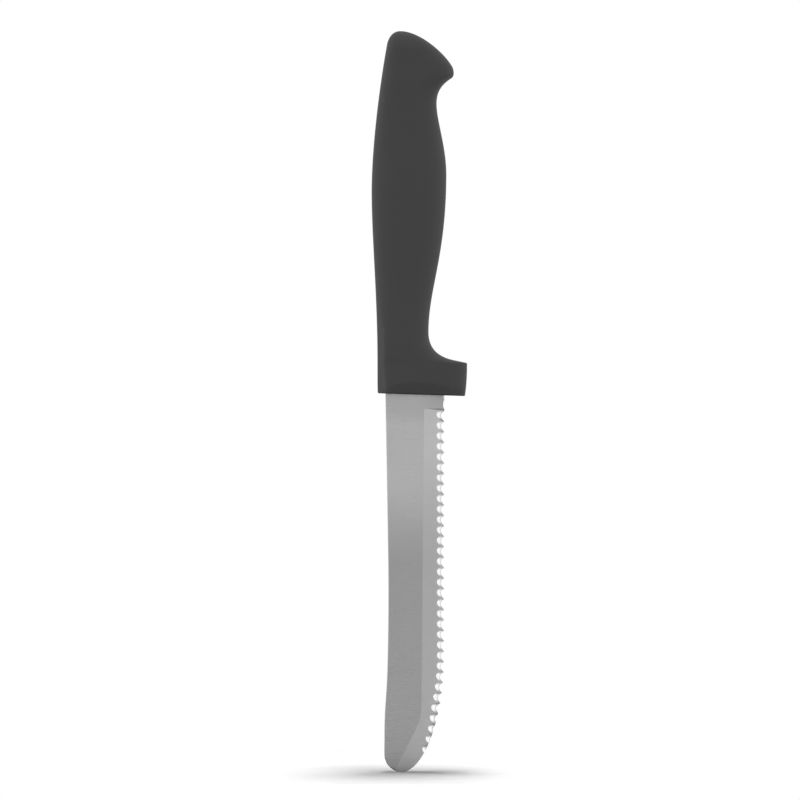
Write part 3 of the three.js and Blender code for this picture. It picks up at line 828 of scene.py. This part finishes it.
# %% Steel material
def steel_material(name, grey, smooth, rough, tones):
    """Steel with belt lines: its grey, its range of roughness and its own changes of tone."""
    material, tree, shader, coordinates = new_material(name)
    lines = belt_lines(tree, coordinates)
    axes = place(tree, "ShaderNodeSeparateXYZ")
    link(tree, coordinates, axes.inputs["Vector"])
    clouds = effect(tree, clouding, coordinates, STEEL_CLOUD_SCALE, STEEL_CLOUD_AMOUNT)
    worn = effect(tree, rubbed_edges, coordinates, STEEL_WEAR_SCALE, STEEL_WEAR_AMOUNT)
    streaks = ranged(tree, lines, LINES_LOW, LINES_HIGH, STREAK_LOW, STREAK_HIGH)
    tone = product(tree, streaks, clouds, worn, *tones(tree, axes.outputs))
    link(tree, tinted(tree, (grey, grey, grey), tone), shader.inputs["Base Color"])
    roughness = ranged(tree, lines, LINES_LOW, LINES_HIGH, smooth, rough)
    link(tree, roughness, shader.inputs["Roughness"])
    bump = place(tree, "ShaderNodeBump", Strength=LINE_STRENGTH, Distance=LINE_DEPTH)
    link(tree, lines, bump.inputs["Height"])
    link(tree, bump.outputs["Normal"], shader.inputs["Normal"])
    shader.inputs["Metallic"].default_value = 1.0
    return material


def flat_tones(tree, axes):
    """The satin flat grows darker towards the tip, and painted shade darkens it at the heel."""
    polish = tip_tone(tree, axes, FLAT_AT_TIP, FLAT_FULL_ABOVE)
    return polish, heel_shade_tone(tree, axes, HEEL_SHADE, HEEL_SHADE_AT_EDGE)


def bevel_tones(tree, axes):
    """The bevel grows a little darker towards the tip."""
    return (tip_tone(tree, axes, BEVEL_AT_TIP, BEVEL_FULL_ABOVE),)


def gullet_tones(tree, axes):
    """A gullet keeps its bright grey in its middle, with painted shade on the teeth and at the far
    edge.
    """
    # Painted shade at the far edge of the gullet.
    edge_shade = ranged(tree, axes["Y"], EDGE_SHADE_FROM, EDGE_SHADE_TO, 1.0, EDGE_SHADE)
    return flank_shade(tree, axes, FLANK_SHADE), edge_shade


def step_tones(tree, axes):
    """The step has no changes of tone; its dark grey is painted shade."""
    return ()


# %% Finish each face of the blade
BEVEL_TURN, GULLET_TURN, STEP_TURN = 0.03, 0.2, -0.3
FLAT, BEVEL, GULLET, STEP = range(4)
for finish in (
    steel_material("satin_flat", STEEL_FLAT, smooth=0.26, rough=0.36, tones=flat_tones),
    steel_material("ground_bevel", STEEL_BEVEL, smooth=0.28, rough=0.4, tones=bevel_tones),
    steel_material("bright_gullet", STEEL_GULLET, smooth=0.3, rough=0.4, tones=gullet_tones),
    # The step's finish is painted shade, for faces that turn down.
    steel_material("shaded_step", STEEL_STEP_SHADE, smooth=0.4, rough=0.5, tones=step_tones),
):
    blade.data.materials.append(finish)


def finish_of(polygon):
    """Which finish a face has, by how it is turned."""
    if polygon.normal.x > GULLET_TURN:
        return GULLET
    # Faces turned down at the heel take the step's painted shade.
    if polygon.normal.z < STEP_TURN and polygon.center.z > HEEL_FROM:
        return STEP
    return BEVEL if polygon.normal.x > BEVEL_TURN else FLAT


finishes = [finish_of(polygon) for polygon in blade.data.polygons]
blade.data.polygons.foreach_set("material_index", finishes)
print("faces of flat, bevel, gullet and step:", [finishes.count(i) for i in range(4)])

# %% [markdown]
# ## Moulded plastic
# The handle's mould was spark-eroded, which leaves an even, fine-pebbled, matt skin. The pebbles
# are a small noise bump with a little change of gloss. A thin parting line runs round the middle,
# where the two halves of the mould met, and the sharpest edges are rubbed a little paler and
# smoother. The front, where the handle meets the blade and its faces turn down, is painted darker
# as shade, which draws a fine line along its rim.

# %% Plastic material
# The front's darker grey is painted shade.
PLASTIC, PLASTIC_FRONT_SHADE = 0.0605, 0.02
FRONT_TURN, FRONT_REACH = -0.7, 2 * MM
PEBBLE = 5200.0
PEBBLE_LOW, PEBBLE_HIGH = 0.3, 0.7
PEBBLE_DARK, PEBBLE_LIGHT = 0.95, 1.05
PEBBLE_DEPTH, PEBBLE_STRENGTH = 0.03 * MM, 0.5
PLASTIC_CLOUD_SCALE, PLASTIC_CLOUD_AMOUNT = 60.0, 0.1
PLASTIC_WEAR_SCALE, PLASTIC_PALER, PLASTIC_SMOOTHER = 400.0, 0.12, -0.15
PLASTIC_SMOOTH, PLASTIC_ROUGH, PLASTIC_SHINE = 0.6, 0.7, 0.16
PARTING_HALF, PARTING_RISE = 0.06 * MM, 1.2


def plastic_material(name, grey):
    """Matt plastic of a given grey with a fine eroded grain."""
    material, tree, shader, coordinates = new_material(name)
    pebbles = place(tree, "ShaderNodeTexNoise", Scale=PEBBLE, Detail=2.0, Roughness=0.5)
    link(tree, coordinates, pebbles.inputs["Vector"])
    grain = pebbles.outputs["Fac"]
    clouds = effect(tree, clouding, coordinates, PLASTIC_CLOUD_SCALE, PLASTIC_CLOUD_AMOUNT)
    worn = effect(tree, rubbed_edges, coordinates, PLASTIC_WEAR_SCALE, PLASTIC_PALER)
    specks = ranged(tree, grain, PEBBLE_LOW, PEBBLE_HIGH, PEBBLE_DARK, PEBBLE_LIGHT)
    tone = product(tree, specks, clouds, worn)
    link(tree, tinted(tree, (grey, grey, grey), tone), shader.inputs["Base Color"])
    smoothed = effect(tree, rubbed_edges, coordinates, PLASTIC_WEAR_SCALE, PLASTIC_SMOOTHER)
    matt = ranged(tree, grain, PEBBLE_LOW, PEBBLE_HIGH, PLASTIC_SMOOTH, PLASTIC_ROUGH)
    link(tree, product(tree, matt, smoothed), shader.inputs["Roughness"])
    axes = place(tree, "ShaderNodeSeparateXYZ")
    link(tree, coordinates, axes.inputs["Vector"])
    from_middle = place(tree, "ShaderNodeMath", operation="ABSOLUTE")
    link(tree, axes.outputs["Y"], from_middle.inputs[0])
    near, far = PARTING_HALF / 2, 2 * PARTING_HALF
    parting = ranged(tree, from_middle.outputs[0], near, far, PARTING_RISE, 0.0)
    relief = place(tree, "ShaderNodeMath", operation="ADD")
    link(tree, grain, relief.inputs[0])
    link(tree, parting, relief.inputs[1])
    bump = place(tree, "ShaderNodeBump", Strength=PEBBLE_STRENGTH, Distance=PEBBLE_DEPTH)
    link(tree, relief.outputs[0], bump.inputs["Height"])
    link(tree, bump.outputs["Normal"], shader.inputs["Normal"])
    shader.inputs["Specular IOR Level"].default_value = PLASTIC_SHINE
    return material


def at_front(polygon):
    """1 for a face of the front and its rim, 0 for the rest of the handle."""
    return int(polygon.normal.z < FRONT_TURN and polygon.center.z < BLADE_LENGTH + FRONT_REACH)


handle.data.materials.append(plastic_material("moulded_plastic", PLASTIC))
# The front's material is painted shade on the faces that turn down by the blade.
handle.data.materials.append(plastic_material("shaded_front", PLASTIC_FRONT_SHADE))
fronts = [at_front(polygon) for polygon in handle.data.polygons]
handle.data.polygons.foreach_set("material_index", fronts)
print("plastic on", handle.name, "with", sum(fronts), "faces at the front")

# %% [markdown]
# ## Floor, light and world
# The picture was taken in a white studio. Near the knife the floor is paper that one lamp above
# lights up to white, so it keeps a soft shadow, and further off it is plain white. That lamp is
# linked to the floor alone, so it does not light the knife itself. A softbox stands on each side, a
# little behind, and lightens both flanks. The world is white to the camera and in reflections, but
# a little darker in front, where a real studio is dark, which deepens the grey of the steel.

# %% White floor
FLOOR_SIZE = 12.0
PAPER = (0.14, 0.14, 0.14, 1.0)
FLOOR_DIM = 0.52
SHADOW_REACH = 0.1

bm = bmesh.new()
bmesh.ops.create_grid(bm, x_segments=1, y_segments=1, size=FLOOR_SIZE / 2)
floor = mesh_object("floor", bm)


def background_rays(tree):
    """1 for the rays that show the background: to the camera, in metal and through glass."""
    ray = tree.nodes.new("ShaderNodeLightPath").outputs
    shown = ray["Is Camera Ray"]
    for kind in ("Is Glossy Ray", "Is Transmission Ray"):
        either = place(tree, "ShaderNodeMath", operation="ADD", use_clamp=True)
        link(tree, shown, either.inputs[0])
        link(tree, ray[kind], either.inputs[1])
        shown = either.outputs[0]
    return shown


def floor_material():
    """Paper that takes the shadow near the knife and is plain white further off."""
    material = bpy.data.materials.new("white_floor")
    material.use_nodes = True
    tree = material.node_tree
    tree.nodes.clear()
    paper = place(tree, "ShaderNodeBsdfDiffuse", Color=PAPER)
    plain = place(tree, "ShaderNodeEmission", Strength=FLOOR_DIM)
    far = place(tree, "ShaderNodeVectorMath", operation="LENGTH")
    link(tree, tree.nodes.new("ShaderNodeTexCoord").outputs["Object"], far.inputs[0])
    fade = ranged(tree, far.outputs["Value"], SHADOW_REACH / 2, SHADOW_REACH, 0, 1)
    bright = place(tree, "ShaderNodeEmission", Strength=1.0)
    spread = tree.nodes.new("ShaderNodeMixShader")
    link(tree, fade, spread.inputs[0])
    link(tree, paper.outputs[0], spread.inputs[1])
    link(tree, bright.outputs[0], spread.inputs[2])
    looked_at = tree.nodes.new("ShaderNodeMixShader")
    link(tree, background_rays(tree), looked_at.inputs[0])
    link(tree, plain.outputs[0], looked_at.inputs[1])
    link(tree, spread.outputs[0], looked_at.inputs[2])
    output = tree.nodes.new("ShaderNodeOutputMaterial")
    link(tree, looked_at.outputs[0], output.inputs["Surface"])
    return material


floor.data.materials.append(floor_material())
print("floor", FLOOR_SIZE, "m")


# %% Softboxes
def softbox(name, place_at, aim, width, depth, power):
    """An area lamp that looks at a point."""
    lamp = bpy.data.lights.new(name, "AREA")
    lamp.shape = "ELLIPSE"
    lamp.size = width
    lamp.size_y = depth
    lamp.energy = power
    holder = bpy.data.objects.new(name, lamp)
    holder.location = place_at
    holder.rotation_euler = (Vector(aim) - Vector(place_at)).to_track_quat("-Z", "Y").to_euler()
    bpy.context.scene.collection.objects.link(holder)
    return holder


MIDDLE = (0, 0, BLADE_LENGTH)
SIDE_REACH, SIDE_BEHIND, SIDE_HEIGHT = 1.1, 0.25, 0.35
SIDE_SIZE, SIDE_POWER = 0.7, 1.6
TOP_X, TOP_Y, TOP_HEIGHT = 0.0045, 0.0084, 0.4
TOP_WIDTH, TOP_DEPTH, TOP_POWER = 0.042, 0.08, 10.8

for name, side in (("left_softbox", -1), ("right_softbox", 1)):
    beside = (side * SIDE_REACH, SIDE_BEHIND, SIDE_HEIGHT)
    softbox(name, beside, MIDDLE, SIDE_SIZE, SIDE_SIZE, SIDE_POWER)
above, below = (TOP_X, TOP_Y, TOP_HEIGHT), (TOP_X, TOP_Y, 0)
top = softbox("top_softbox", above, below, TOP_WIDTH, TOP_DEPTH, TOP_POWER)
floor_only = bpy.data.collections.new("floor_only")
floor_only.objects.link(floor)
top.light_linking.receiver_collection = floor_only
print("lamps:", sorted(lamp.name for lamp in bpy.data.lights))


# %% World
AMBIENT = 0.95
FRONT_SHADE, SHADE_FROM, SHADE_TO = 0.75, -1.0, -0.4


def white_world():
    """White to the camera, white with a dim front in reflections, and even as plain light."""
    world = bpy.data.worlds.new("white_studio")
    world.use_nodes = True
    tree = world.node_tree
    background = tree.nodes["Background"]
    background.inputs["Color"].default_value = (1, 1, 1, 1)
    direction = place(tree, "ShaderNodeSeparateXYZ")
    coordinates = tree.nodes.new("ShaderNodeTexCoord").outputs["Generated"]
    link(tree, coordinates, direction.inputs["Vector"])
    shown = place(tree, "ShaderNodeMix", data_type="FLOAT")
    shown.inputs[2].default_value = AMBIENT
    link(tree, background_rays(tree), shown.inputs[0])
    shaded = ranged(tree, direction.outputs["Y"], SHADE_FROM, SHADE_TO, FRONT_SHADE, 1.0)
    link(tree, shaded, shown.inputs[3])
    seen = place(tree, "ShaderNodeMix", data_type="FLOAT")
    seen.inputs[3].default_value = 1.0
    link(tree, tree.nodes.new("ShaderNodeLightPath").outputs["Is Camera Ray"], seen.inputs[0])
    link(tree, shown.outputs[0], seen.inputs[2])
    link(tree, seen.outputs[0], background.inputs["Strength"])
    return world


bpy.context.scene.world = white_world()
bpy.context.scene.view_settings.view_transform = "Standard"
print("world:", bpy.context.scene.world.name)

# %% [markdown]
# ## Camera
# The picture looks straight at the scalloped face from over a metre and a half with a long lens,
# level with the front of the handle, and the knife stands a little right of the middle.

# %% Camera
CAMERA_DISTANCE = 1.67
FRAME_WIDTH = 0.2334
SENSOR = 36.0
AIM = Vector((-0.00565, 0, 0.1084))

lens = bpy.data.cameras.new("camera")
lens.sensor_width = SENSOR
lens.lens = SENSOR * CAMERA_DISTANCE / FRAME_WIDTH
lens.dof.use_dof = False
camera = bpy.data.objects.new("camera", lens)
camera.location = AIM - Vector((0, CAMERA_DISTANCE, 0))
camera.rotation_euler = (math.pi / 2, 0, 0)
bpy.context.scene.collection.objects.link(camera)
bpy.context.scene.camera = camera
print("lens", round(lens.lens), "mm")
